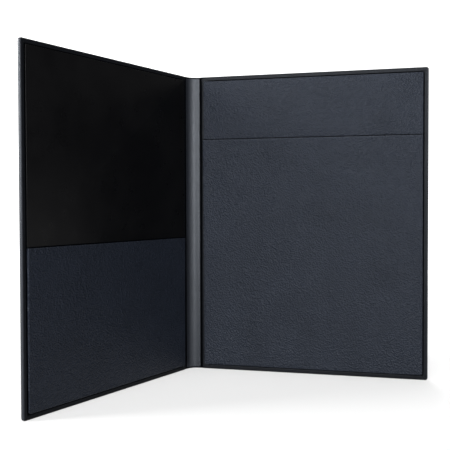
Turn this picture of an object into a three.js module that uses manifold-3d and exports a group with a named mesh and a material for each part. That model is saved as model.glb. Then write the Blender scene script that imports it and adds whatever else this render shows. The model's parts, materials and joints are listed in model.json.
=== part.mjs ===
// Padfolio: a case-bound folder of board and leatherette, standing open on its tail edges.
// Units are millimetres, +Z is up. The spine is at the back, the inside faces look towards -Y.
//
// Each cover is drawn flat in its own frame. There u runs from the board's hinge edge to the
// fore-edge, n rises from the turned-in rim towards the inside, and z is the height. A cover's
// group then turns and places it. The spine is drawn round the centre of its own arc.

import * as THREE from 'three';
import { mergeVertices } from 'three/addons/utils/BufferGeometryUtils.js';
import Module from 'manifold-3d';

const wasm = await Module();
wasm.setup();

// Driving dimensions of the case
const COVER_WIDTH = 241.3;
const COVER_HEIGHT = 317.5;
const OPENING_ANGLE = 106;
const CORNER_RADIUS = 2.5;
const EDGE_RADIUS = 1.0;
const BOARD_THICKNESS = 2.0;
const SKIN_THICKNESS = 0.5;
const GLUE_GAP = 0.3;
const TURN_IN = 15;
const MITRE_WIDTH = 0.3;
const MITRE_DEPTH = 0.25;

// Driving dimensions of the spine and its two flexible joints
const SPINE_GIRTH = 16.9;
const STIFFENER_WIDTH = 10;
const STIFFENER_THICKNESS = 1.0;
const JOINT_SLOT = 0.9;
const LINING_MARGIN = 2;
const LINING_LEAF = 10;
const SPINE_MARGIN = 0.5;

// Driving dimensions of the inside
const LINER_INSET = 5.1;
const LINER_CORNER = 1.5;
const FRONT_LINER_THICKNESS = 0.5;
const BACK_LINER_THICKNESS = 1.2;
const DOCUMENT_POCKET_THICKNESS = 0.5;
const DOCUMENT_POCKET_MOUTH = 144.5;
const DOCUMENT_POCKET_GAPE = 0.6;
const PAD_POCKET_THICKNESS = 0.8;
const PAD_POCKET_MOUTH = 250;
const PAD_POCKET_GAPE = 1.6;
const SIDE_SHARE_OF_GAPE = 0.4;
const HEM_WIDTH = 9;
const HEM_THICKNESS = 0.5;

// How finely the curved forms are divided
const ARC_STEP = 3;
const CORNER_DIVISIONS = 5;
const EDGE_DIVISIONS = 3;
const POCKET_DIVISIONS = 14;

// Sizes that follow from the driving dimensions
const COVER_THICKNESS = BOARD_THICKNESS + 2 * (SKIN_THICKNESS + GLUE_GAP);
const SPINE_TURN = THREE.MathUtils.degToRad(180 - OPENING_ANGLE);
const SPINE_RADIUS = SPINE_GIRTH / SPINE_TURN;
const LINING_RADIUS = SPINE_RADIUS + SKIN_THICKNESS;
const TONGUE_INNER_RADIUS = LINING_RADIUS + GLUE_GAP;
const TONGUE_OUTER_RADIUS = TONGUE_INNER_RADIUS + SKIN_THICKNESS;
const STIFFENER_OUTER_RADIUS = TONGUE_INNER_RADIUS + STIFFENER_THICKNESS;
const WRAP_INNER_RADIUS = STIFFENER_OUTER_RADIUS + GLUE_GAP;
const WRAP_OUTER_RADIUS = WRAP_INNER_RADIUS + SKIN_THICKNESS;
const JOINT_RADIUS = (SPINE_RADIUS + TONGUE_OUTER_RADIUS) / 2;
const JOINT_LENGTH = (SPINE_GIRTH - STIFFENER_WIDTH) / 2;
const STIFFENER_START = JOINT_LENGTH / SPINE_RADIUS;
const JOINT_ANGLE = STIFFENER_START / 2;
const HALF_SLOT = JOINT_SLOT / 2 / JOINT_RADIUS;

const FRONT_INSIDE = {
  linerThickness: FRONT_LINER_THICKNESS,
  pocketThickness: DOCUMENT_POCKET_THICKNESS,
  mouth: DOCUMENT_POCKET_MOUTH,
  gape: DOCUMENT_POCKET_GAPE,
};
const BACK_INSIDE = {
  linerThickness: BACK_LINER_THICKNESS,
  pocketThickness: PAD_POCKET_THICKNESS,
  mouth: PAD_POCKET_MOUTH,
  gape: PAD_POCKET_GAPE,
};

const COLOURS = {
  leatherette: { color: 0x23262a, roughness: 0.5, metalness: 0 },
  pocketLeatherette: { color: 0x34373d, roughness: 0.55, metalness: 0 },
  smoothLiner: { color: 0x0b0c0e, roughness: 0.45, metalness: 0 },
  greyboard: { color: 0x8d8a84, roughness: 0.9, metalness: 0 },
};

// Turns a closed three.js geometry into a solid that can be cut and joined.
function solid(geometry) {
  const bare = geometry.clone();
  bare.deleteAttribute('normal');
  bare.deleteAttribute('uv');
  const merged = mergeVertices(bare);
  return new wasm.Manifold(new wasm.Mesh({
    numProp: 3,
    vertProperties: new Float32Array(merged.attributes.position.array),
    triVerts: new Uint32Array(merged.index.array),
  }));
}

// Turns a solid back into a named mesh with its material.
function piece(name, body, finish) {
  const { vertProperties, triVerts } = body.getMesh();
  const geometry = new THREE.BufferGeometry();
  geometry.setAttribute('position', new THREE.BufferAttribute(vertProperties, 3));
  geometry.setIndex(new THREE.BufferAttribute(triVerts, 1));
  const mesh = new THREE.Mesh(geometry, new THREE.MeshStandardMaterial(COLOURS[finish]));
  mesh.name = name;
  return mesh;
}

// A straight-edged block between two values of u, of n and of z. side is +1 or -1: the way
// in which the cover's own y axis runs against n.
function blockGeometry(side, u, n, z, divisions = [1, 1, 1]) {
  const block = new THREE.BoxGeometry(u[1] - u[0], n[1] - n[0], z[1] - z[0], ...divisions);
  return block.translate((u[0] + u[1]) / 2, side * (n[0] + n[1]) / 2, (z[0] + z[1]) / 2);
}

// A rectangle in u and z with rounded corners.
function roundedRectangle(u, z, radius) {
  const shape = new THREE.Shape();
  shape.moveTo(u[0] + radius, z[0]);
  shape.lineTo(u[1] - radius, z[0]);
  shape.absarc(u[1] - radius, z[0] + radius, radius, -Math.PI / 2, 0, false);
  shape.lineTo(u[1], z[1] - radius);
  shape.absarc(u[1] - radius, z[1] - radius, radius, 0, Math.PI / 2, false);
  shape.lineTo(u[0] + radius, z[1]);
  shape.absarc(u[0] + radius, z[1] - radius, radius, Math.PI / 2, Math.PI, false);
  shape.lineTo(u[0], z[0] + radius);
  shape.absarc(u[0] + radius, z[0] + radius, radius, Math.PI, 1.5 * Math.PI, false);
  return shape;
}

// A plate with rounded corners between two values of n. Its edges are rounded by edgeRadius.
function plate(side, u, n, z, cornerRadius, edgeRadius = 0) {
  const geometry = new THREE.ExtrudeGeometry(roundedRectangle(u, z, cornerRadius), {
    depth: n[1] - n[0] - 2 * edgeRadius,
    curveSegments: CORNER_DIVISIONS,
    bevelEnabled: edgeRadius > 0,
    bevelThickness: edgeRadius,
    bevelSize: edgeRadius,
    bevelOffset: -edgeRadius,
    bevelSegments: EDGE_DIVISIONS,
  });
  const highestY = Math.max(side * n[0], side * n[1]);
  return geometry.rotateX(Math.PI / 2).translate(0, highestY - edgeRadius, 0);
}

// Points along an arc round the spine's centre. Angle 0 is the back board's hinge edge, and
// the angle grows towards the front board. place turns a radius and an angle into x and y.
function arcPoints(place, radius, from, to) {
  const step = THREE.MathUtils.degToRad(ARC_STEP);
  const steps = Math.max(1, Math.ceil(Math.abs(to - from) / step));
  return Array.from({ length: steps + 1 }, (_, i) => place(radius, from + (to - from) * i / steps));
}

// A shell between two radii and two angles, drawn as a prism between two heights.
function sector(place, radii, angles, z) {
  const outline = [
    ...arcPoints(place, radii[0], angles[0], angles[1]),
    ...arcPoints(place, radii[1], angles[1], angles[0]),
  ];
  const options = { depth: z[1] - z[0], bevelEnabled: false };
  return new THREE.ExtrudeGeometry(new THREE.Shape(outline), options).translate(0, 0, z[0]);
}

// The spine's arc seen from a cover: it leaves the rim's plane at u = 0 and bends inwards.
function coverPlace(side) {
  return (radius, angle) => new THREE.Vector2(
    -radius * Math.sin(angle),
    side * (SPINE_RADIUS - radius * Math.cos(angle)),
  );
}

// The spine's arc in the spine's own frame, symmetrical about the Y axis.
function spinePlace(radius, angle) {
  const bearing = SPINE_TURN / 2 - angle;
  return new THREE.Vector2(radius * Math.sin(bearing), radius * Math.cos(bearing));
}

// The greyboard core, which the wrap holds on every side.
function board(side) {
  const margin = SKIN_THICKNESS + GLUE_GAP;
  return solid(plate(
    side,
    [margin, COVER_WIDTH - margin],
    [margin - COVER_THICKNESS, -margin],
    [margin, COVER_HEIGHT - margin],
    CORNER_RADIUS - EDGE_RADIUS,
  ));
}

// The shallow slit where two turned-in edges meet at a fore-edge corner.
function mitre(side, atHead) {
  const reach = (TURN_IN - MITRE_WIDTH) * Math.SQRT2;
  const slit = new THREE.BoxGeometry(reach, 2 * MITRE_DEPTH, MITRE_WIDTH);
  slit.rotateY(atHead ? -Math.PI / 4 : Math.PI / 4);
  const middle = TURN_IN / 2;
  const z = atHead ? COVER_HEIGHT - middle : middle;
  return solid(slit.translate(COVER_WIDTH - middle, 0, z));
}

// The leatherette round one board: the outer face, the rounded edges, the turn-ins at head,
// tail and fore-edge, and a tongue that runs into the flexible joint.
function wrap(side) {
  const inner = [SKIN_THICKNESS - COVER_THICKNESS, -SKIN_THICKNESS];
  const shell = solid(plate(
    side, [0, COVER_WIDTH], [-COVER_THICKNESS, 0], [0, COVER_HEIGHT], CORNER_RADIUS, EDGE_RADIUS,
  ));
  const boardRoom = solid(plate(
    side,
    [SKIN_THICKNESS, COVER_WIDTH - SKIN_THICKNESS],
    inner,
    [SKIN_THICKNESS, COVER_HEIGHT - SKIN_THICKNESS],
    CORNER_RADIUS - SKIN_THICKNESS,
  ));
  const betweenTurnIns = solid(blockGeometry(
    side,
    [SKIN_THICKNESS, COVER_WIDTH - TURN_IN],
    [inner[1] - GLUE_GAP, EDGE_RADIUS],
    [TURN_IN, COVER_HEIGHT - TURN_IN],
  ));
  const liningRoom = solid(blockGeometry(
    side,
    [-EDGE_RADIUS, LINING_LEAF + GLUE_GAP],
    [inner[1] - GLUE_GAP, EDGE_RADIUS],
    [LINING_MARGIN - GLUE_GAP, COVER_HEIGHT - LINING_MARGIN + GLUE_GAP],
  ));
  const place = coverPlace(side);
  const height = [SPINE_MARGIN + EDGE_RADIUS, COVER_HEIGHT - SPINE_MARGIN - EDGE_RADIUS];
  const rootAngle = -SKIN_THICKNESS / SPINE_RADIUS;
  const tongue = solid(sector(
    place, [TONGUE_INNER_RADIUS, TONGUE_OUTER_RADIUS], [rootAngle, JOINT_ANGLE - HALF_SLOT], height,
  ));
  return shell
    .subtract(boardRoom)
    .subtract(betweenTurnIns)
    .subtract(liningRoom)
    .subtract(mitre(side, true))
    .subtract(mitre(side, false))
    .add(tongue);
}

// The edge of the spine's lining that is glued to a board, under the liner.
function hingeLining(side) {
  const height = [LINING_MARGIN, COVER_HEIGHT - LINING_MARGIN];
  const leaf = solid(blockGeometry(side, [0, LINING_LEAF], [-SKIN_THICKNESS, 0], height));
  const tongue = solid(sector(
    coverPlace(side), [SPINE_RADIUS, LINING_RADIUS], [0, JOINT_ANGLE - HALF_SLOT], height,
  ));
  return leaf.add(tongue);
}

// The liner sheet. Its upper part shows, and below the pocket's mouth it is cut back on three
// sides by the pocket's own thickness, so that the pocket ends flush with it.
function liner(side, { linerThickness, pocketThickness, mouth }) {
  const u = [LINER_INSET, COVER_WIDTH - LINER_INSET];
  const z = [LINER_INSET, COVER_HEIGHT - LINER_INSET];
  const n = [GLUE_GAP, GLUE_GAP + linerThickness];
  const cutBack = pocketThickness + GLUE_GAP;
  const through = [0, n[1] + GLUE_GAP];
  const low = [0, mouth + GLUE_GAP];
  return solid(plate(side, u, n, z, LINER_CORNER))
    .subtract(solid(blockGeometry(side, [0, u[0] + cutBack], through, low)))
    .subtract(solid(blockGeometry(side, [u[1] - cutBack, COVER_WIDTH], through, low)))
    .subtract(solid(blockGeometry(side, [0, COVER_WIDTH], through, [0, z[0] + cutBack])));
}

// A pocket of leatherette folded round the liner's two sides and bottom, with a hem turned in
// at its mouth. The hem lifts the panel off the liner, and the panel bows a little more, most
// at the middle of the mouth.
function pocket(side, { linerThickness, pocketThickness, mouth, gape }) {
  const u = [LINER_INSET, COVER_WIDTH - LINER_INSET];
  const z = [LINER_INSET, mouth];
  const seat = GLUE_GAP;
  const underside = seat + linerThickness + GLUE_GAP;
  const face = underside + pocketThickness;

  // How far the panel stands off at a point: the hem's thickness, and the gape times a share
  // that is least at the two sides and 1 half way across, both times the square of the height.
  const lift = (across, up) => {
    const share = SIDE_SHARE_OF_GAPE + (1 - SIDE_SHARE_OF_GAPE) * Math.sin(Math.PI * across);
    return (HEM_THICKNESS + gape * share) * up * up;
  };

  // A block whose upper side follows the panel. Its lower side stays where it is.
  const bowed = (uRange, nRange, zRange, zDivisions, lower = 0) => {
    const divisions = [POCKET_DIVISIONS, 1, zDivisions];
    const geometry = blockGeometry(side, uRange, nRange, zRange, divisions);
    const position = geometry.attributes.position;
    for (let i = 0; i < position.count; i += 1) {
      const up = (position.getZ(i) - z[0]) / (z[1] - z[0]);
      const across = (position.getX(i) - u[0]) / (u[1] - u[0]);
      const n = side * position.getY(i);
      if (n > seat) position.setY(i, side * (n + lift(across, up) - lower));
    }
    return solid(geometry);
  };

  const inside = [u[0] + pocketThickness, u[1] - pocketThickness];
  const bottom = z[0] + pocketThickness;
  const hemStart = mouth - HEM_WIDTH;
  const folded = bowed(u, [seat, face], z, POCKET_DIVISIONS);
  const room = bowed(inside, [0, underside], [bottom, hemStart], POCKET_DIVISIONS);
  const overHem = [hemStart - GLUE_GAP, mouth + GLUE_GAP];
  const roomBehindHem = bowed(inside, [0, underside], overHem, 1, HEM_THICKNESS);
  return folded.subtract(room).subtract(roomBehindHem);
}

// The card strip that keeps the spine's middle round.
function spineStiffener() {
  const margin = SPINE_MARGIN + SKIN_THICKNESS + GLUE_GAP;
  return solid(sector(
    spinePlace,
    [TONGUE_INNER_RADIUS, STIFFENER_OUTER_RADIUS],
    [STIFFENER_START, SPINE_TURN - STIFFENER_START],
    [margin, COVER_HEIGHT - margin],
  ));
}

// The leatherette over the spine: raised over the stiffener, and sunk to a thin tongue at
// each side, where the two flexible joints run down the outside as grooves.
function spineWrap() {
  const height = [SPINE_MARGIN, COVER_HEIGHT - SPINE_MARGIN];
  const first = JOINT_ANGLE + HALF_SLOT;
  const room = GLUE_GAP / SPINE_RADIUS;
  const wall = SKIN_THICKNESS / SPINE_RADIUS;
  const roomStart = STIFFENER_START - room;
  const raisedStart = roomStart - wall;
  const tongues = solid(sector(
    spinePlace, [TONGUE_INNER_RADIUS, TONGUE_OUTER_RADIUS], [first, SPINE_TURN - first], height,
  ));
  const raised = solid(sector(
    spinePlace,
    [TONGUE_INNER_RADIUS, WRAP_OUTER_RADIUS],
    [raisedStart, SPINE_TURN - raisedStart],
    height,
  ));
  const stiffenerRoom = solid(sector(
    spinePlace,
    [TONGUE_INNER_RADIUS - GLUE_GAP, WRAP_INNER_RADIUS],
    [roomStart, SPINE_TURN - roomStart],
    [height[0] + SKIN_THICKNESS, height[1] - SKIN_THICKNESS],
  ));
  return tongues.add(raised).subtract(stiffenerRoom);
}

// The leatherette strip down the inside of the spine.
function spineLining() {
  const first = JOINT_ANGLE + HALF_SLOT;
  return solid(sector(
    spinePlace,
    [SPINE_RADIUS, LINING_RADIUS],
    [first, SPINE_TURN - first],
    [LINING_MARGIN, COVER_HEIGHT - LINING_MARGIN],
  ));
}

// The back cover carries the pad pocket. Its frame has y against n.
function backCover() {
  const side = -1;
  const cover = new THREE.Group();
  cover.add(
    piece('back_board', board(side), 'greyboard'),
    piece('back_wrap', wrap(side), 'leatherette'),
    piece('back_hinge_lining', hingeLining(side), 'leatherette'),
    piece('back_liner', liner(side, BACK_INSIDE), 'pocketLeatherette'),
    piece('pad_pocket', pocket(side, BACK_INSIDE), 'pocketLeatherette'),
  );
  const edge = spinePlace(SPINE_RADIUS, 0);
  cover.position.set(edge.x, edge.y, 0);
  cover.rotation.z = -SPINE_TURN / 2;
  return cover;
}

// The front cover carries the document pocket. Its frame has y along n.
function frontCover() {
  const side = 1;
  const cover = new THREE.Group();
  cover.add(
    piece('front_board', board(side), 'greyboard'),
    piece('front_wrap', wrap(side), 'leatherette'),
    piece('front_hinge_lining', hingeLining(side), 'leatherette'),
    piece('front_liner', liner(side, FRONT_INSIDE), 'smoothLiner'),
    piece('document_pocket', pocket(side, FRONT_INSIDE), 'pocketLeatherette'),
  );
  const edge = spinePlace(SPINE_RADIUS, SPINE_TURN);
  cover.position.set(edge.x, edge.y, 0);
  cover.rotation.z = Math.PI + SPINE_TURN / 2;
  return cover;
}

// The round spine between the two flexible joints.
function spine() {
  const group = new THREE.Group();
  group.add(
    piece('spine_stiffener', spineStiffener(), 'greyboard'),
    piece('spine_wrap', spineWrap(), 'leatherette'),
    piece('spine_lining', spineLining(), 'leatherette'),
  );
  return group;
}

// The whole padfolio, moved so that the origin is the bottom centre of its outer box.
const padfolio = new THREE.Group();
padfolio.add(backCover(), spine(), frontCover());
const extent = new THREE.Box3().setFromObject(padfolio, true);
const centre = extent.getCenter(new THREE.Vector3());
padfolio.position.set(-centre.x, -centre.y, -extent.min.z);
padfolio.updateMatrixWorld(true);

export default padfolio;
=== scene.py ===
"""A padfolio of board and leatherette, standing open, dressed round its CAD frame.

Lengths are millimetres until the last step, where a mesh is written in metres. Everything on a
cover is drawn in three coordinates:

    q  runs over the case from the middle of the spine (negative) to the fore-edge. It is 0 at
       the board's hinge edge and equals the distance from that edge on the board itself.
    h  is the depth towards the outside, 0 at the turned-in rim inside the cover.
    z  is the height.
"""

import json
import logging
import math
from dataclasses import dataclass, field
from enum import Enum
from typing import Callable

import bpy
import numpy as np
from mathutils import Matrix, Vector


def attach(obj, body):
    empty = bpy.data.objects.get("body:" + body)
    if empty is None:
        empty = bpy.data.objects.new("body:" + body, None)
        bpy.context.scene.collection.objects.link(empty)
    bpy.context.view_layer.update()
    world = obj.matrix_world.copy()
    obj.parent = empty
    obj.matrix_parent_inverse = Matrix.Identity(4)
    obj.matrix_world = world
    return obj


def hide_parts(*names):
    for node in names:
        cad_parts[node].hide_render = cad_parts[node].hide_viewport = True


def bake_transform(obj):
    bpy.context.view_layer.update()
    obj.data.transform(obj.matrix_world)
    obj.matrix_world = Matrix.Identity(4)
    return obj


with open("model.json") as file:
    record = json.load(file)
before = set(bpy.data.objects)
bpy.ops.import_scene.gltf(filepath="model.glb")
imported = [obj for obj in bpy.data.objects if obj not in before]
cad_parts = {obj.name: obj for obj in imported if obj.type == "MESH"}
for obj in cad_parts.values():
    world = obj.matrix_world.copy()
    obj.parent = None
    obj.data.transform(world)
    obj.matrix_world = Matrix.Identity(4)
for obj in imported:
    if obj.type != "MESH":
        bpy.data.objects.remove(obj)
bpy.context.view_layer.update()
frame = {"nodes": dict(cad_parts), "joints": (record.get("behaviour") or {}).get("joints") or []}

log = logging.getLogger("padfolio")

Array = np.ndarray
Place = Callable[[Array, Array, Array], Array]

MM = 0.001
# An edge that bends by more than this is shaded as sharp.
SHARP_ANGLE = math.radians(38)
# Each of a fold's two bends may take up this share of its depth.
BEND_SHARE = 0.49
# The vertex attribute that holds wear and painted shade, and how far painted shade darkens all
# the inside rims on its scale.
WEAR_AND_SHADE = "wear_and_shade"
RIM_SHADE = 0.7


def smoothstep(value: Array, low: float, high: float) -> Array:
    """Rises from 0 at low to 1 at high, as 3t squared less 2t cubed.

    Args:
        value: the numbers to look at.
        low: where the rise starts.
        high: where it ends. It may be below low, which turns the rise into a fall.

    Returns:
        The share risen, between 0 and 1.
    """
    t = np.clip((value - low) / (high - low), 0, 1)
    return t * t * (3 - 2 * t)


@dataclass(frozen=True)
class CaseSizes:
    """The case's driving sizes in millimetres, as in the CAD frame.

    Only liner_corner is smaller than in the frame, because the liners' corners are sharper
    than the solids'.
    """

    cover_width: float = 241.3
    cover_height: float = 317.5
    opening: float = 106.0
    cover_thickness: float = 3.6
    corner_radius: float = 2.5
    edge_radius: float = 1.0
    spine_girth: float = 16.9
    stiffener_width: float = 10.0
    tongue_depth: float = 1.3
    spine_depth: float = 2.6
    turn_in: float = 15.0
    skin: float = 0.3
    liner_inset: float = 5.1
    liner_corner: float = 0.7
    seat: float = 0.3

    @property
    def turn(self) -> float:
        """The angle in radians that the spine's arc turns through."""
        return math.radians(180 - self.opening)

    @property
    def spine_radius(self) -> float:
        """The radius of the spine's inner face, from its girth and its turn."""
        return self.spine_girth / self.turn

    @property
    def joint_length(self) -> float:
        """The length of one flexible joint, between a board and the stiffener."""
        return (self.spine_girth - self.stiffener_width) / 2


class Side(Enum):
    """The two covers, each with the way its fore-edge points along X."""

    BACK = 1
    FRONT = -1

    @property
    def body(self) -> str:
        """The name of the CAD body that the cover is."""
        return "back_cover" if self is Side.BACK else "front_cover"

    @property
    def word(self) -> str:
        """The word that the cover's nodes and pieces start with."""
        return "back" if self is Side.BACK else "front"


@dataclass(frozen=True)
class CaseSpace:
    """Turns q, h and z on one cover into places in the frame."""

    side: Side
    sizes: CaseSizes

    @property
    def spine_centre_y(self) -> float:
        """Where the arc's centre lies along Y, worked out from the CAD joint beside it."""
        joint = next(j for j in frame["joints"] if j["name"] == "back_hinge")
        radius = self.sizes.spine_radius + self.sizes.tongue_depth / 2
        bearing = self.sizes.turn / 2 - self.sizes.joint_length / 2 / self.sizes.spine_radius
        return joint["pos_m"][1] / MM - radius * math.cos(bearing)

    def place(self, q: Array, h: Array, z: Array) -> Array:
        """Puts points of the case into the frame.

        On the board a point is the hinge edge plus q along the cover less h along the cover's
        inside normal. On the spine the angle is q over the spine's radius, and the distance
        from the arc's centre is that radius plus h.

        Args:
            q: distance along the case.
            h: depth towards the outside.
            z: height.

        Returns:
            The places in metres, with x, y and z along the last axis.
        """
        q, h, z = np.broadcast_arrays(q, h, z)
        radius = self.sizes.spine_radius
        half = self.sizes.turn / 2
        bearing = half + np.minimum(q, 0) / radius
        along = np.maximum(q, 0)
        x = (radius + h) * np.sin(bearing) + along * math.cos(half)
        y = (radius + h) * np.cos(bearing) - along * math.sin(half) + self.spine_centre_y
        return np.stack([self.side.value * x, y, z], axis=-1) * MM


def link_mesh(name: str, places: list, faces: list) -> bpy.types.Object:
    """Makes a mesh object at the origin and links it to the scene."""
    mesh = bpy.data.meshes.new(name)
    mesh.from_pydata(places, [], faces)
    mesh.validate()
    piece = bpy.data.objects.new(name, mesh)
    bpy.context.scene.collection.objects.link(piece)
    return piece


def vertex_places(piece: bpy.types.Object) -> Array:
    """The places of a piece's vertices in millimetres, with one row for each."""
    places = np.empty(len(piece.data.vertices) * 3)
    piece.data.vertices.foreach_get("co", places)
    return places.reshape(-1, 3) / MM


class Surface:
    """A mesh in the making: places and faces, gathered from grids."""

    def __init__(self) -> None:
        """Starts with no places and no faces."""
        self.places: list[Array] = []
        self.faces: list[Array] = []
        self.count = 0

    def add_places(self, places: Array) -> Array:
        """Adds a block of places and returns their indices in the block's own layout."""
        flat = places.reshape(-1, 3)
        index = np.arange(self.count, self.count + len(flat)).reshape(places.shape[:-1])
        self.places.append(flat)
        self.count += len(flat)
        return index

    def add_quads(self, index: Array) -> None:
        """Adds the quads between neighbours in a two-way table of indices."""
        a, b, c, d = index[:-1, :-1], index[1:, :-1], index[1:, 1:], index[:-1, 1:]
        self.faces.append(np.stack([a, b, c, d], axis=-1).reshape(-1, 4))

    def build(self, name: str, outward: Array) -> bpy.types.Object:
        """Writes the mesh and links it to the scene.

        Args:
            name: the piece's name.
            outward: the way in which the first face looks. All faces are turned round if
                it looks the other way.

        Returns:
            The new object, at the origin.
        """
        places = np.concatenate(self.places)
        quads = np.concatenate(self.faces)
        first = places[quads[0]]
        normal = np.cross(first[2] - first[0], first[3] - first[1])
        if normal @ outward < 0:
            quads = quads[:, ::-1]
        return link_mesh(name, places.tolist(), quads.tolist())


def bake_modifiers(piece: bpy.types.Object) -> None:
    """Replaces a piece's mesh by what its modifiers make of it, and marks its sharp edges."""
    depsgraph = bpy.context.evaluated_depsgraph_get()
    made = bpy.data.meshes.new_from_object(piece.evaluated_get(depsgraph))
    made.name = piece.name
    piece.modifiers.clear()
    piece.data = made
    made.polygons.foreach_set("use_smooth", np.ones(len(made.polygons), bool))
    made.set_sharp_from_angle(angle=SHARP_ANGLE)


@dataclass(frozen=True)
class Fold:
    """How a border of a sheet is turned over: a bend, the drop, and then a flap."""

    radius: float
    flap: float
    bend_steps: int = 6
    flap_steps: int = 5
    groove_place: float = 0.0
    groove_width: float = 1.0
    groove_depth: float = 0.0

    def profile(self, start: float, depth: Array, reach: Array) -> tuple[Array, Array]:
        """The fold's section at each border point.

        The first bend is a quarter circle from the sheet's face to the edge, the second one
        leads from the edge to the flap, and the flap runs back under the sheet. A bend's
        radius is at most just under half the depth. A pressed groove brings the flap closer to
        the face, by 1 less the square of the distance from the groove's middle in half widths.

        Args:
            start: the inset from the outline at which the flat sheet ends.
            depth: how far below the face the flap lies, one number for each border point.
            reach: the flap's inset at its end, one number for each border point.

        Returns:
            The insets and the depths, with one row for each border point.
        """
        bend = np.linspace(0, math.pi / 2, self.bend_steps)[None, :]
        radius = np.minimum(min(self.radius, start), depth * BEND_SHARE)[:, None]
        depth = depth[:, None]
        insets = [radius * (1 - np.sin(bend))]
        depths = [radius * (1 - np.cos(bend))]
        if self.flap > 0:
            insets.append(radius * (1 - np.cos(bend)))
            depths.append(depth - radius + radius * np.sin(bend))
            share = np.linspace(0, 1, self.flap_steps + 1)[None, 1:]
            flap = radius + (reach[:, None] - radius) * share
            hollow = np.clip(1 - ((flap - self.groove_place) / self.groove_width * 2) ** 2, 0, 1)
            insets.append(flap)
            depths.append(depth - self.groove_depth * hollow)
        else:
            insets.append(np.zeros_like(depth))
            depths.append(depth)
        return np.concatenate(insets, axis=1), np.concatenate(depths, axis=1)


@dataclass
class FoldedSheet:
    """A sheet of leatherette laid over a flat form, folded over three of its borders.

    The sheet has a chart of its own: x runs from the border that isn't folded to the far one,
    and y runs across. Its two far corners are rounded. place(x, y, depth) puts a point of the
    chart into the frame, that far below the sheet's face.
    """

    name: str
    x_lines: Array
    y_lines: Array
    corner_radius: float
    fold: Fold
    place: Place
    depth: Callable[[Array, Array], Array]
    thickness: float
    mitre_gap: float = 0.12
    hem: Fold | None = None
    hem_depth: float = 0.0

    @property
    def inset(self) -> float:
        """The inset from the outline at which the flat sheet ends and the folds start."""
        return self.fold.radius

    def _grid(self) -> tuple[Array, Array]:
        """The flat sheet's points, with its far corners turned from squares into discs.

        In a corner's own square, with both shares from 0 to 1, each share is multiplied by
        the root of 1 less half the square of the other.
        """
        x, y = np.meshgrid(self.x_lines, self.y_lines, indexing="ij")
        inner = self.corner_radius - self.inset
        corner_x = self.x_lines[-1] - inner
        a = np.clip((x - corner_x) / inner, 0, None)
        for sign, edge in ((1, self.y_lines[-1]), (-1, self.y_lines[0])):
            corner_y = edge - sign * inner
            b = np.clip(sign * (y - corner_y) / inner, 0, None)
            inside = (a > 0) & (b > 0)
            x = np.where(inside, corner_x + inner * a * np.sqrt(1 - b * b / 2), x)
            y = np.where(inside, corner_y + sign * inner * b * np.sqrt(1 - a * a / 2), y)
        return x, y

    def _border(self, x: Array, y: Array) -> tuple[Array, Array, Array, Array]:
        """The folded border: its points, outward directions and free lengths for the flap."""
        rows, columns = x.shape
        i = np.concatenate([
            np.arange(rows), np.full(columns - 2, rows - 1), np.arange(rows)[::-1],
        ])
        j = np.concatenate([
            np.zeros(rows, int), np.arange(1, columns - 1), np.full(rows, columns - 1),
        ])
        points = np.stack([x[i, j], y[i, j]], axis=-1)
        inner = self.corner_radius - self.inset
        core_x = self.x_lines[-1] - inner
        low_y, high_y = self.y_lines[0] + inner, self.y_lines[-1] - inner
        core = np.stack([
            np.minimum(points[:, 0], core_x), np.clip(points[:, 1], low_y, high_y),
        ], axis=-1)
        outward = points - core
        outward /= np.linalg.norm(outward, axis=1)[:, None]
        from_corner = np.maximum(core_x - core[:, 0], 0)
        on_far_side = core[:, 0] >= core_x
        along_far_side = np.minimum(core[:, 1] - low_y, high_y - core[:, 1])
        free = self.corner_radius + np.where(on_far_side, along_far_side, from_corner)
        return np.stack([i, j]), points, outward, free

    def build(self) -> bpy.types.Object:
        """Makes the sheet's mesh, with its thickness laid on inwards."""
        surface = Surface()
        x, y = self._grid()
        index = surface.add_places(self.place(x, y, np.zeros_like(x)))
        surface.add_quads(index)
        (i, j), points, outward, free = self._border(x, y)
        depth = self.depth(points[:, 0], points[:, 1])
        reach = np.minimum(self.fold.flap, free - self.mitre_gap)
        insets, depths = self.fold.profile(self.inset, depth, reach)
        chart = points[:, None, :] + outward[:, None, :] * (self.inset - insets)[..., None]
        strip = surface.add_places(self.place(chart[..., 0], chart[..., 1], depths))
        surface.add_quads(np.concatenate([index[i, j][:, None], strip], axis=1)[::-1])
        if self.hem:
            self._add_hem(surface, index, x, y)
        middle = (np.array([x[0, 0]]), np.array([y[0, 0]]))
        outside = self.place(*middle, np.zeros(1)) - self.place(*middle, np.ones(1))
        piece = surface.build(self.name, outside[0])
        solidify = piece.modifiers.new("thickness", "SOLIDIFY")
        solidify.thickness = self.thickness * MM
        solidify.offset = -1
        solidify.use_even_offset = True
        bake_modifiers(piece)
        return piece

    def _add_hem(self, surface: Surface, index: Array, x: Array, y: Array) -> None:
        """Turns the open border in under the sheet, as a hem."""
        depth = np.full(y.shape[1], self.hem_depth)
        reach = np.full(y.shape[1], self.hem.flap)
        insets, depths = self.hem.profile(self.hem.radius, depth, reach)
        chart_x = x[0][:, None] - self.hem.radius + insets
        chart_y = np.broadcast_to(y[0][:, None], chart_x.shape)
        strip = surface.add_places(self.place(chart_x, chart_y, depths))
        surface.add_quads(np.concatenate([index[0][:, None], strip], axis=1))


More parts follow.
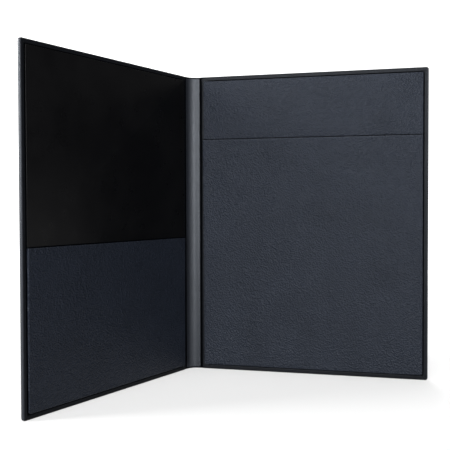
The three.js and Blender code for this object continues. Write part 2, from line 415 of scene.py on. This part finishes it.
class Nodes:
    """A short way to write a material's node tree."""

    def __init__(self, name: str) -> None:
        """Makes an empty material with its shader and its output."""
        self.material = bpy.data.materials.new(name)
        self.material.use_nodes = True
        self.tree = self.material.node_tree
        self.shader = self.tree.nodes["Principled BSDF"]
        self.coordinates = self.tree.nodes.new("ShaderNodeTexCoord").outputs["Object"]

    def node(self, kind: str, links: dict | None = None, **settings: object) -> bpy.types.Node:
        """Adds a node.

        Args:
            kind: the node's type without its first words.
            links: input names with either a number, a colour or another node's output.
            settings: the node's own properties.

        Returns:
            The new node.
        """
        made = self.tree.nodes.new("ShaderNode" + kind)
        for key, value in settings.items():
            setattr(made, key, value)
        for key, value in (links or {}).items():
            if isinstance(value, bpy.types.NodeSocket):
                self.tree.links.new(value, made.inputs[key])
            else:
                made.inputs[key].default_value = value
        return made

    def noise(self, size: float, detail: float = 3,
              roughness: float = 0.55) -> bpy.types.NodeSocket:
        """Noise whose features are about size millimetres across."""
        made = self.node("TexNoise", {
            "Vector": self.coordinates, "Scale": 1 / (size * MM), "Detail": detail,
            "Roughness": roughness,
        })
        return made.outputs["Fac"]

    def pebbles(self, size: float, smoothness: float = 0.6) -> bpy.types.NodeSocket:
        """Rounded pebbles about size millimetres across, highest between their borders."""
        made = self.node("TexVoronoi", {
            "Vector": self.coordinates, "Scale": 1 / (size * MM), "Smoothness": smoothness,
        }, feature="SMOOTH_F1")
        return made.outputs["Distance"]

    def ramp(self, value: bpy.types.NodeSocket, low: float, high: float,
             to_low: float, to_high: float) -> bpy.types.NodeSocket:
        """Carries a range of a value over to another range."""
        made = self.node("MapRange", {
            "Value": value, "From Min": low, "From Max": high, "To Min": to_low,
            "To Max": to_high,
        })
        return made.outputs["Result"]

    def sum(self, a: bpy.types.NodeSocket, b: bpy.types.NodeSocket,
            share: float) -> bpy.types.NodeSocket:
        """The first value plus a share of the second one."""
        made = self.node("Math", {0: b, 1: share, 2: a}, operation="MULTIPLY_ADD")
        return made.outputs["Value"]

    def mix(self, factor: bpy.types.NodeSocket, a: object, b: object) -> bpy.types.NodeSocket:
        """A colour between two colours, each a tuple or another node's output."""
        made = self.node("Mix", data_type="RGBA")
        self.tree.links.new(factor, made.inputs["Factor"])
        for socket, colour in zip([s for s in made.inputs if s.type == "RGBA"], (a, b)):
            if isinstance(colour, bpy.types.NodeSocket):
                self.tree.links.new(colour, socket)
            else:
                socket.default_value = (*colour, 1)
        return next(s for s in made.outputs if s.type == "RGBA")

    def bump(self, height: bpy.types.NodeSocket, depth: float) -> None:
        """Sends a height, whose full range is depth millimetres, to the shader's normal."""
        made = self.node("Bump", {"Height": height, "Distance": depth * MM, "Strength": 1})
        self.tree.links.new(made.outputs["Normal"], self.shader.inputs["Normal"])

    def set(self, **values: object) -> None:
        """Sets shader inputs, given with _ for a blank, to numbers or to other outputs."""
        for key, value in values.items():
            socket = self.shader.inputs[key.replace("_", " ")]
            if isinstance(value, bpy.types.NodeSocket):
                self.tree.links.new(value, socket)
            else:
                socket.default_value = value


@dataclass(frozen=True)
class Leatherette:
    """Coated cloth with a fine pebble grain, satin, a little uneven in tone.

    Where the wear-and-shade attribute is below 0 the colour is painted nearly black without
    gloss, as painted shade in grooves and on rims, and a rubbed place has the polish on top of
    it.
    """

    name: str
    dark: tuple[float, float, float]
    light: tuple[float, float, float]
    roughness: float
    gloss: float
    pebble: float
    grain_depth: float
    polish: float
    mottle_range: tuple[float, float] = (0.5, 1.1)
    shade_black: float = 0.92

    def material(self) -> bpy.types.Material:
        """Builds the node tree: tone from two noises, and a grain of pebbles and pores."""
        nodes = Nodes(self.name)
        mottle = nodes.sum(nodes.noise(3.2, 2), nodes.noise(38, 2), 0.6)
        tone = nodes.ramp(mottle, *self.mottle_range, 0, 1)
        matt, satin = self.roughness + 0.04, self.roughness - 0.03
        pebbles = nodes.pebbles(self.pebble)
        wear_and_shade = nodes.node("Attribute", attribute_name=WEAR_AND_SHADE).outputs["Fac"]
        gloss = nodes.ramp(wear_and_shade, -1, 0, 0, self.gloss)
        gloss = nodes.sum(gloss, nodes.ramp(wear_and_shade, 0, 1, 0, 1), self.polish)
        colour = nodes.mix(tone, self.dark, self.light)
        # Painted shade: below 0 the wear-and-shade attribute mixes the colour towards black.
        colour = nodes.mix(nodes.ramp(wear_and_shade, -1, 0, self.shade_black, 0), colour, (0, 0, 0))
        grain = nodes.sum(pebbles, nodes.noise(0.7, 2), 0.5)
        grain = nodes.sum(grain, nodes.noise(3.5, 2), 0.7)
        nodes.set(
            Base_Color=colour,
            Roughness=nodes.ramp(mottle, *self.mottle_range, matt, satin),
            Specular_IOR_Level=gloss, Specular_Tint=(0.86, 0.92, 1, 1),
        )
        nodes.bump(grain, self.grain_depth)
        return nodes.material


@dataclass(frozen=True)
class SmoothFilm:
    """Black film on card: no grain, faint waves, and little gloss."""

    name: str
    dark: tuple[float, float, float]
    light: tuple[float, float, float]
    roughness: float = 0.3
    gloss: float = 0.07
    wave_depth: float = 0.05

    def material(self) -> bpy.types.Material:
        """Builds the node tree: a faint cloud of tone, and long shallow waves."""
        nodes = Nodes(self.name)
        cloud, smear = nodes.noise(45, 2), nodes.noise(14, 3)
        waves = nodes.sum(nodes.noise(60, 1), nodes.noise(9, 2), 0.05)
        satin, matt = self.roughness - 0.04, self.roughness + 0.05
        nodes.set(
            Base_Color=nodes.mix(nodes.ramp(cloud, 0.35, 0.65, 0, 1), self.dark, self.light),
            Roughness=nodes.ramp(smear, 0.3, 0.7, satin, matt),
            Specular_IOR_Level=self.gloss,
        )
        nodes.bump(waves, self.wave_depth)
        return nodes.material


@dataclass(frozen=True)
class Greyboard:
    """The raw board of the cores, with its flecks and its felt of short fibres."""

    name: str
    dark: tuple[float, float, float] = (0.19, 0.175, 0.155)
    light: tuple[float, float, float] = (0.31, 0.29, 0.26)
    relief: float = 0.08

    def material(self) -> bpy.types.Material:
        """Builds the node tree: flecks of tone and a rough fibre relief."""
        nodes = Nodes(self.name)
        flecks = nodes.noise(1.1, 5, 0.7)
        nodes.set(
            Base_Color=nodes.mix(nodes.ramp(flecks, 0.35, 0.68, 0, 1), self.dark, self.light),
            Roughness=nodes.ramp(flecks, 0.3, 0.7, 0.86, 0.96),
        )
        nodes.bump(flecks, self.relief)
        return nodes.material


@dataclass
class Finishes:
    """The four finishes, made once and given to pieces by their slot's name."""

    outside: Leatherette = Leatherette(
        "outer_leatherette", (0.0038, 0.0044, 0.0060), (0.0072, 0.0082, 0.0108), roughness=0.38,
        gloss=0.16, pebble=1.2, grain_depth=0.12, polish=0.24,
    )
    inside: Leatherette = Leatherette(
        "inner_leatherette", (0.0032, 0.0042, 0.0068), (0.0058, 0.0074, 0.0116), roughness=0.42,
        gloss=0.1, pebble=1.5, grain_depth=0.7, polish=0.12,
    )
    film: SmoothFilm = SmoothFilm(
        "black_film", (0.0010, 0.0010, 0.0012), (0.0017, 0.0017, 0.0019),
    )
    board: Greyboard = Greyboard("greyboard_core")
    made: dict[str, bpy.types.Material] = field(default_factory=dict)

    def dress(self, piece: bpy.types.Object, slot: str) -> None:
        """Gives a piece the material of a slot."""
        finish = {
            "leatherette": self.outside,
            "grained_lining": self.inside,
            "smooth_lining": self.film,
            "greyboard": self.board,
        }[slot]
        if slot not in self.made:
            self.made[slot] = finish.material()
        piece.data.materials.clear()
        piece.data.materials.append(self.made[slot])


def lines(*stretches: tuple[float, float, int]) -> Array:
    """Grid lines from stretches, each given by its start, its end and its steps."""
    parts = [np.linspace(a, b, steps, endpoint=False) for a, b, steps in stretches]
    return np.concatenate([*parts, [stretches[-1][1]]])


@dataclass
class CaseHalf:
    """One cover's leatherette and its half of the spine, as one sheet over the board.

    The outside is 3.6 deep over the board, sinks to the joint's groove and rises again over
    the spine's stiffener. The inside is 0 on the rim and sinks a little into the joint.
    """

    space: CaseSpace
    groove_fall: tuple[float, float] = (0.9, -1.1)
    groove_rise: tuple[float, float] = (-2.3, -4.3)
    rim_fall: tuple[float, float] = (0.9, -0.3)
    joint_depth: float = 1.6
    joint_rim_depth: float = 0.72
    groove_rim_depth: float = 0.45
    rim_groove: tuple[float, float] = (3.1, 2.35)
    # The painted shade lines: one along the liner's edge, at this inset and reach, and one in
    # the joint's groove.
    shade_line_middle: float = 4.75
    shade_line_reach: float = 0.75
    shade_line_start: float = 3.0
    hinge_shade_end: float = -0.3
    rubbed_width: float = 1.6
    rub: float = 0.55
    inside_depth: float = 0.9

    def outer_depth(self, q: Array) -> Array:
        """The depth of the outer face: board, groove and spine, joined by smooth steps."""
        sizes = self.space.sizes
        over_joint = smoothstep(q, *self.groove_fall)
        over_spine = smoothstep(q, *self.groove_rise)
        groove = sizes.cover_thickness + (self.joint_depth - sizes.cover_thickness) * over_joint
        return groove + (sizes.spine_depth - self.joint_depth) * over_spine

    def inner_depth(self, q: Array) -> Array:
        """The depth of the turned-in rim: 0 on the board, more at its hinge edge and beyond."""
        groove = self.groove_rim_depth * smoothstep(q, *self.rim_groove)
        drop = self.joint_rim_depth - self.groove_rim_depth
        return groove + drop * smoothstep(q, *self.rim_fall)

    def build(self) -> bpy.types.Object:
        """Makes the sheet, writes its wear and painted shade, and hides the CAD parts that it
        stands for.
        """
        sizes = self.space.sizes
        middle = -sizes.spine_girth / 2
        inset, corner = sizes.edge_radius, sizes.corner_radius
        width, height = sizes.cover_width - middle, sizes.cover_height
        # The grid is finer over the joint, in a border round the cover and at its corners.
        joint_end, board_start, border = 2 - middle, 24, 20

        def place(x: Array, y: Array, depth: Array) -> Array:
            """Puts a point of the sheet's chart into the frame."""
            q = x + middle
            return self.space.place(q, self.outer_depth(q) - depth, y)

        sheet = FoldedSheet(
            name=f"{self.space.side.word}_case_skin",
            x_lines=lines(
                (0, joint_end, 44), (joint_end, board_start, 8),
                (board_start, width - border, 22), (width - border, width - corner, 12),
                (width - corner, width - inset, 5),
            ),
            y_lines=lines(
                (inset, corner, 5), (corner, border, 12), (border, height - border, 30),
                (height - border, height - corner, 12), (height - corner, height - inset, 5),
            ),
            corner_radius=corner,
            fold=Fold(
                sizes.edge_radius, sizes.turn_in, flap_steps=30, groove_place=5.0,
                groove_width=1.9, groove_depth=0.42,
            ),
            place=place,
            depth=lambda x, y: self.outer_depth(x + middle) - self.inner_depth(x + middle),
            thickness=sizes.skin,
        )
        piece = sheet.build()
        mark_wear_and_shade(piece, self.wear_and_shade(piece))
        blend_over_joint(piece, self.space)
        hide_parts(f"{self.space.side.word}_wrap", "spine_wrap")
        return piece

    def wear_and_shade(self, piece: bpy.types.Object) -> Array:
        """Each place's wear and painted shade: painted black as shade along the liner's edge, in
        the joint's groove and on all inside rims, and rubbed to a gloss on the fore-edge.
        """
        sizes = self.space.sizes
        places = vertex_places(piece)
        zero = np.zeros(3)
        hinge, along, inward = self.space.place(
            np.array([0.0, 1.0, 0.0]), np.array([0.0, 0.0, -1.0]), zero) / MM
        q = (places - hinge) @ (along - hinge)
        depth = (places - hinge) @ (hinge - inward)
        inset = np.minimum.reduce([
            sizes.cover_width - q, places[:, 2], sizes.cover_height - places[:, 2],
        ])
        off_middle = (inset - self.shade_line_middle) / self.shade_line_reach
        liner_edge_shade = np.clip(1 - off_middle**2, 0, 1) * (q > self.shade_line_start)
        hinge_shade = smoothstep(q, *self.rim_groove) * (q > self.hinge_shade_end)
        rubbed = self.rub * np.clip(self.rubbed_width - (sizes.cover_width - q), 0, 1)
        # Painted shade: the liner's edge line, the joint's groove and every inside rim are
        # darkened in colour.
        painted_shade = np.clip(liner_edge_shade + hinge_shade + RIM_SHADE, 0, 1)
        return rubbed - painted_shade * (depth < self.inside_depth)


def mark_wear_and_shade(piece: bpy.types.Object, wear_and_shade: Array) -> None:
    """Writes each place's wear and painted shade: 1 rubbed to a sheen, 0 as new, -1 painted
    black as shade in a groove or recess.
    """
    layer = piece.data.attributes.new(WEAR_AND_SHADE, "FLOAT", "POINT")
    layer.data.foreach_set("value", wear_and_shade.astype(np.float32))


def blend_over_joint(piece: bpy.types.Object, space: CaseSpace) -> None:
    """Works out the joint's ends, from the board's edge to the stiffener, and bakes the piece's
    transform; it bends nothing.
    """
    reach = np.array([0.0, -space.sizes.joint_length])
    start, end = space.place(reach, np.zeros(2), np.zeros(2))
    space.side.body
    tuple(start)
    tuple(end)
    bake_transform(piece)


@dataclass
class LiningHalf:
    """Half of the spine's inner lining, with the leaf that is glued to the board's rim."""

    space: CaseSpace
    margin: float = 2.0
    leaf: float = 9.0
    leaf_top: float = -0.26
    leaf_thickness: float = 0.2
    spine_thickness: float = 0.4
    groove_floor: float = 0.22
    fall: tuple[float, float] = (3.0, 2.3)
    rise: tuple[float, float] = (0.4, -0.9)
    sheen: tuple[float, float] = (-1.4, -6.6)

    def build(self) -> bpy.types.Object:
        """Makes a closed strip: its face, its back, and the walls round its border."""
        sizes = self.space.sizes
        joint_end, foot, foot_edge, border = 2, self.margin, self.margin + 1, 30
        head, head_start = sizes.cover_height - foot, sizes.cover_height - border
        q = lines((-sizes.spine_girth / 2, joint_end, 52), (joint_end, self.leaf, 8))
        z = lines(
            (foot, foot_edge, 4), (foot_edge, border, 12), (border, head_start, 30),
            (head_start, head, 16),
        )
        q_grid, z_grid = np.meshgrid(q, z, indexing="ij")
        fallen, in_spine = smoothstep(q_grid, *self.fall), smoothstep(q_grid, *self.rise)
        face = self.leaf_top + (self.groove_floor - self.leaf_top) * fallen
        face = face - self.groove_floor * in_spine
        thickness = self.leaf_thickness + (self.spine_thickness - self.leaf_thickness) * in_spine
        front = self.space.place(q_grid, face, z_grid)
        back = self.space.place(q_grid, face + thickness, z_grid)
        surface = Surface()
        a, b = surface.add_places(front), surface.add_places(back)
        surface.add_quads(a)
        surface.add_quads(b[:, ::-1])
        around_a = np.concatenate([a[0, :], a[1:, -1], a[-1, -2::-1], a[-2::-1, 0]])
        around_b = np.concatenate([b[0, :], b[1:, -1], b[-1, -2::-1], b[-2::-1, 0]])
        surface.add_quads(np.stack([around_a, around_b])[:, ::-1])
        piece = surface.build(f"{self.space.side.word}_spine_lining", (front - back)[0, 0])
        bake_modifiers(piece)
        sheen = smoothstep(q_grid, *self.sheen)
        # Painted shade: the leaf is darkened where it dips into the joint's groove, and more
        # lightly on the rim; the sheen only raises the gloss.
        wear_and_shade = sheen - fallen * (1 - in_spine) - RIM_SHADE * (1 - fallen)
        mark_wear_and_shade(piece, np.tile(wear_and_shade.ravel(), 2))
        blend_over_joint(piece, self.space)
        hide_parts(f"{self.space.side.word}_hinge_lining", "spine_lining")
        return piece


@dataclass(frozen=True)
class PocketSizes:
    """The sizes of a cover's liner and of the pocket over it, as in the CAD frame."""

    name: str
    liner_thickness: float
    thickness: float
    mouth: float
    gape: float
    side_bulge: float
    liner_edge: float
    hem_width: float = 9.0
    hem_thickness: float = 0.5
    side_share: float = 0.4
    gap: float = 0.3


@dataclass
class Liner:
    """The flat liner sheet, narrower where the pocket is folded round it."""

    space: CaseSpace
    pocket: PocketSizes
    corner_points: int = 7
    bevel_steps: int = 4

    def outline(self) -> Array:
        """The liner's outline in u and z: a rounded rectangle with its lower part cut back."""
        sizes = self.space.sizes
        low, high = sizes.liner_inset, sizes.cover_height - sizes.liner_inset
        left, right = sizes.liner_inset, sizes.cover_width - sizes.liner_inset
        cut = self.pocket.thickness + self.pocket.gap
        shelf = self.pocket.mouth + self.pocket.gap
        radius = sizes.liner_corner
        turn = np.linspace(0, math.pi / 2, self.corner_points)
        head_right = np.stack([
            right - radius + radius * np.cos(turn), high - radius + radius * np.sin(turn),
        ], axis=-1)
        head_left = np.stack([
            left + radius - radius * np.sin(turn), high - radius + radius * np.cos(turn),
        ], axis=-1)
        lower = np.array([[left, shelf], [left + cut, shelf], [left + cut, low + cut],
                          [right - cut, low + cut], [right - cut, shelf], [right, shelf]])
        return np.concatenate([head_right, head_left, lower])

    def build(self) -> bpy.types.Object:
        """Makes the sheet as one outline given its thickness, with its edges rounded."""
        sizes = self.space.sizes
        outline = self.outline()
        top = sizes.seat + self.pocket.liner_thickness
        places = self.space.place(outline[:, 0], np.full(len(outline), -top), outline[:, 1])
        order = np.arange(len(outline))
        if self.space.side is Side.FRONT:
            order = order[::-1]
        name = f"{self.space.side.word}_liner_sheet"
        piece = link_mesh(name, places.tolist(), [order.tolist()])
        solidify = piece.modifiers.new("thickness", "SOLIDIFY")
        solidify.thickness = self.pocket.liner_thickness * MM
        solidify.offset = -1
        bevel = piece.modifiers.new("rounded edges", "BEVEL")
        bevel.width = self.pocket.liner_edge * MM
        bevel.segments = self.bevel_steps
        bevel.limit_method = "ANGLE"
        bake_modifiers(piece)
        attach(piece, self.space.side.body)
        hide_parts(f"{self.space.side.word}_liner")
        return piece


@dataclass
class Pocket:
    """A pocket panel folded round the liner on three sides, with a hem at its mouth."""

    space: CaseSpace
    pocket: PocketSizes
    fold_radius: float = 0.9
    corner_radius: float = 2.2
    hem_radius: float = 0.43
    hem_drop: float = 0.36
    panel_share: float = 0.8
    bulge_reach: float = 25.0
    # The band under the mouth that is painted black as shade along the pocket's mouth.
    mouth_shade_band: float = 0.8
    mouth_rub: tuple[float, float] = (2.2, 1.4)
    rub: float = 0.5

    def stand_off(self, u: Array, z: Array) -> Array:
        """How far the panel's face stands over the rim.

        It is the stack below it, plus the hem's thickness and a share of the gape, both times
        the square of the height up the pocket. The share is least at the sides.
        """
        sizes, pocket = self.space.sizes, self.pocket
        across = (u - sizes.liner_inset) / (sizes.cover_width - 2 * sizes.liner_inset)
        up = np.clip((z - sizes.liner_inset) / (pocket.mouth - sizes.liner_inset), 0, 1)
        bow = np.sin(math.pi * np.clip(across, 0, 1))
        share = pocket.side_share + (1 - pocket.side_share) * bow
        stack = sizes.seat + pocket.liner_thickness + pocket.gap + pocket.thickness
        return stack + (pocket.hem_thickness + pocket.gape * share) * up * up

    def build(self) -> bpy.types.Object:
        """Makes the panel, with its folds and its hem."""
        sizes, pocket = self.space.sizes, self.pocket
        width = sizes.cover_width - 2 * sizes.liner_inset
        reach = pocket.mouth - sizes.liner_inset
        inset, corner = self.fold_radius, self.corner_radius
        # The grid is finer at the mouth, near the ends and sides, and at the corners.
        mouth_end, ends, sides = 3, 12, 26

        def place(x: Array, y: Array, depth: Array) -> Array:
            """Puts a point of the panel's chart into the frame, bulged at the hinge side."""
            z = pocket.mouth - x
            up = np.clip(1 - x / reach, 0, 1)
            near_hinge = np.clip(1 - y / self.bulge_reach, 0, 1)
            u = sizes.liner_inset + y - pocket.side_bulge * up**3 * near_hinge**2
            return self.space.place(u, depth - self.stand_off(u, z), z)

        def depth(x: Array, y: Array) -> Array:
            """How far the folded edge drops: from the face to just over the rim."""
            return self.stand_off(sizes.liner_inset + y, pocket.mouth - x) - sizes.seat

        sheet = FoldedSheet(
            name=pocket.name,
            x_lines=lines(
                (self.hem_radius, mouth_end, 8), (mouth_end, ends, 5), (ends, reach - ends, 28),
                (reach - ends, reach - corner, 6), (reach - corner, reach - inset, 4),
            ),
            y_lines=lines(
                (inset, corner, 4), (corner, sides, 10), (sides, width - sides, 30),
                (width - sides, width - corner, 10), (width - corner, width - inset, 4),
            ),
            corner_radius=corner,
            fold=Fold(self.fold_radius, 0),
            place=place,
            depth=depth,
            thickness=pocket.hem_thickness * self.panel_share,
            hem=Fold(self.hem_radius, pocket.hem_width),
            hem_depth=pocket.hem_thickness + self.hem_drop,
        )
        piece = sheet.build()
        below_mouth = pocket.mouth - vertex_places(piece)[:, 2]
        rubbed = self.rub * smoothstep(below_mouth, *self.mouth_rub)
        # The hem's roll at the mouth is painted black as shade; just under it a rubbed band is
        # glossier.
        mark_wear_and_shade(piece, np.where(below_mouth < self.mouth_shade_band, -1, rubbed))
        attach(piece, self.space.side.body)
        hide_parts(pocket.name.replace("_panel", ""))
        return piece


@dataclass(frozen=True)
class Viewpoint:
    """The camera, fitted to the photograph's two covers.

    Its place and its sensor are in millimetres, its angles in degrees.
    """

    place: tuple[float, float, float] = (-285.1, -739.2, 180.8)
    bearing: float = 21.718
    pitch: float = 1.591
    roll: float = -0.159
    focal_pixels: float = 787.8
    frame_pixels: float = 450.0
    sensor: float = 36.0

    def build(self) -> None:
        """Makes the camera and gives it to the scene."""
        yaw, pitch, roll = (math.radians(v) for v in (self.bearing, self.pitch, self.roll))
        ahead = Vector((
            math.sin(yaw) * math.cos(pitch), math.cos(yaw) * math.cos(pitch), -math.sin(pitch),
        ))
        level = Vector((math.cos(yaw), -math.sin(yaw), 0))
        upright = level.cross(ahead)
        right = math.cos(roll) * level + math.sin(roll) * upright
        up = math.cos(roll) * upright - math.sin(roll) * level
        data = bpy.data.cameras.new("photo_view")
        data.sensor_width = self.sensor
        data.lens = self.focal_pixels / self.frame_pixels * self.sensor
        data.clip_start, data.clip_end = 0.01, 50
        camera = bpy.data.objects.new("photo_view", data)
        turned = Matrix((right, up, -ahead)).transposed().to_4x4()
        camera.matrix_world = Matrix.Translation(Vector(self.place) * MM) @ turned
        bpy.context.scene.collection.objects.link(camera)
        bpy.context.scene.camera = camera


@dataclass(frozen=True)
class Softbox:
    """One area light, given by where it stands, what it looks at, its size and its power."""

    name: str
    place: tuple[float, float, float]
    aim: tuple[float, float, float]
    size: tuple[float, float]
    power: float

    def build(self) -> None:
        """Makes the light."""
        data = bpy.data.lights.new(self.name, "AREA")
        data.shape = "RECTANGLE"
        data.size, data.size_y = self.size
        data.energy = self.power
        light = bpy.data.objects.new(self.name, data)
        light.location = self.place
        way = Vector(self.aim) - Vector(self.place)
        light.rotation_euler = way.to_track_quat("-Z", "Y").to_euler()
        bpy.context.scene.collection.objects.link(light)


@dataclass
class Studio:
    """A plain pale floor and wall that glow, with softboxes above, in front, beside and behind.

    Lengths are metres and powers are watts. The glow rises with the distance from the object.
    """

    world_strength: float = 0.15
    paint: tuple[float, float, float, float] = (0.3, 0.3, 0.3, 1)
    glow_rise: tuple[float, float] = (0.35, 1.6)
    floor_size: float = 12.0
    wall_distance: float = 2.6
    wall_height: float = 5.0
    floor_glow: float = 0.34
    wall_glow: float = 1.02
    boxes: tuple[Softbox, ...] = (
        Softbox("overhead", (0.0, -0.5, 2.3), (0.0, 0.0, 0.0), (1.4, 1.4), 55),
        Softbox("front_strip", (0.1, -2.3, 0.5), (0.0, 0.0, 0.2), (0.36, 0.9), 30),
        Softbox("right_strip", (1.15, -1.95, 0.5), (0.0, 0.0, 0.2), (0.25, 0.8), 3),
        Softbox("left_low", (-1.75, -1.55, 0.36), (0.0, 0.0, 0.15), (0.7, 0.7), 66),
        Softbox("left_key", (-1.25, -2.05, 1.05), (0.0, 0.0, 0.2), (0.8, 0.7), 60),
        Softbox("back_fill", (0.9, 2.1, 1.7), (0.0, 0.1, 0.2), (1.2, 0.9), 60),
        Softbox("left_edge", (-2.2, 0.25, 1.0), (0.0, 0.0, 0.2), (0.6, 1.2), 80),
    )

    def _sheet(self, name: str, corners: list[tuple[float, float, float]], glow: float) -> None:
        """Makes one flat part of the stage, pale and glowing more away from the object."""
        sheet = link_mesh(name, corners, [(0, 1, 2, 3)])
        nodes = Nodes(f"{name}_paint")
        away = nodes.node("VectorMath", {0: nodes.coordinates}, operation="LENGTH")
        strength = nodes.ramp(away.outputs["Value"], *self.glow_rise, glow, self.wall_glow)
        nodes.set(
            Base_Color=self.paint, Roughness=0.9, Specular_IOR_Level=0.1,
            Emission_Color=(1, 1, 1, 1), Emission_Strength=strength,
        )
        sheet.data.materials.append(nodes.material)

    def build(self) -> None:
        """Makes the world, the floor, the wall and the lights, and sets the colour view."""
        scene = bpy.context.scene
        scene.view_settings.view_transform = "Standard"
        world = bpy.data.worlds.new("studio")
        world.use_nodes = True
        background = world.node_tree.nodes["Background"]
        background.inputs["Color"].default_value = (1, 1, 1, 1)
        background.inputs["Strength"].default_value = self.world_strength
        scene.world = world
        half, back, top = self.floor_size / 2, self.wall_distance, self.wall_height
        floor = [(-half, -half, 0), (half, -half, 0), (half, back, 0), (-half, back, 0)]
        wall = [(-half, back, 0), (half, back, 0), (half, back, top), (-half, back, top)]
        self._sheet("floor", floor, self.floor_glow)
        self._sheet("wall", wall, self.wall_glow)
        for box in self.boxes:
            box.build()


POCKETS = {
    Side.FRONT: PocketSizes(
        name="document_pocket_panel", liner_thickness=0.5, thickness=0.5, mouth=144.5,
        gape=0.6, side_bulge=0.0, liner_edge=0.2,
    ),
    Side.BACK: PocketSizes(
        name="pad_pocket_panel", liner_thickness=1.2, thickness=0.8, mouth=250.0,
        gape=1.6, side_bulge=0.9, liner_edge=0.58,
    ),
}
LINER_SLOTS = {Side.FRONT: "smooth_lining", Side.BACK: "grained_lining"}


def build_cover(side: Side, sizes: CaseSizes, finishes: Finishes) -> None:
    """Builds and dresses everything that belongs to one cover.

    Args:
        side: which cover.
        sizes: the case's sizes.
        finishes: the finishes to dress it in.
    """
    space = CaseSpace(side, sizes)
    pocket = POCKETS[side]
    made = (
        (CaseHalf(space).build(), "leatherette"),
        (LiningHalf(space).build(), "leatherette"),
        (Liner(space, pocket).build(), LINER_SLOTS[side]),
        (Pocket(space, pocket).build(), "grained_lining"),
    )
    for piece, slot in made:
        finishes.dress(piece, slot)
        log.info("%s: %d faces", piece.name, len(piece.data.polygons))


def dress_cores(finishes: Finishes) -> None:
    """Gives the hidden CAD cores their greyboard."""
    for node in ("front_board", "back_board", "spine_stiffener"):
        finishes.dress(frame["nodes"][node], "greyboard")
        log.info("%s: CAD core", node)


def main() -> None:
    """Builds the camera, both covers, the cores and the studio, in that order."""
    logging.basicConfig(level=logging.INFO, format="%(name)s: %(message)s")
    Viewpoint().build()
    sizes, finishes = CaseSizes(), Finishes()
    for side in Side:
        build_cover(side, sizes, finishes)
    dress_cores(finishes)
    Studio().build()


if __name__ == "__main__":
    main()
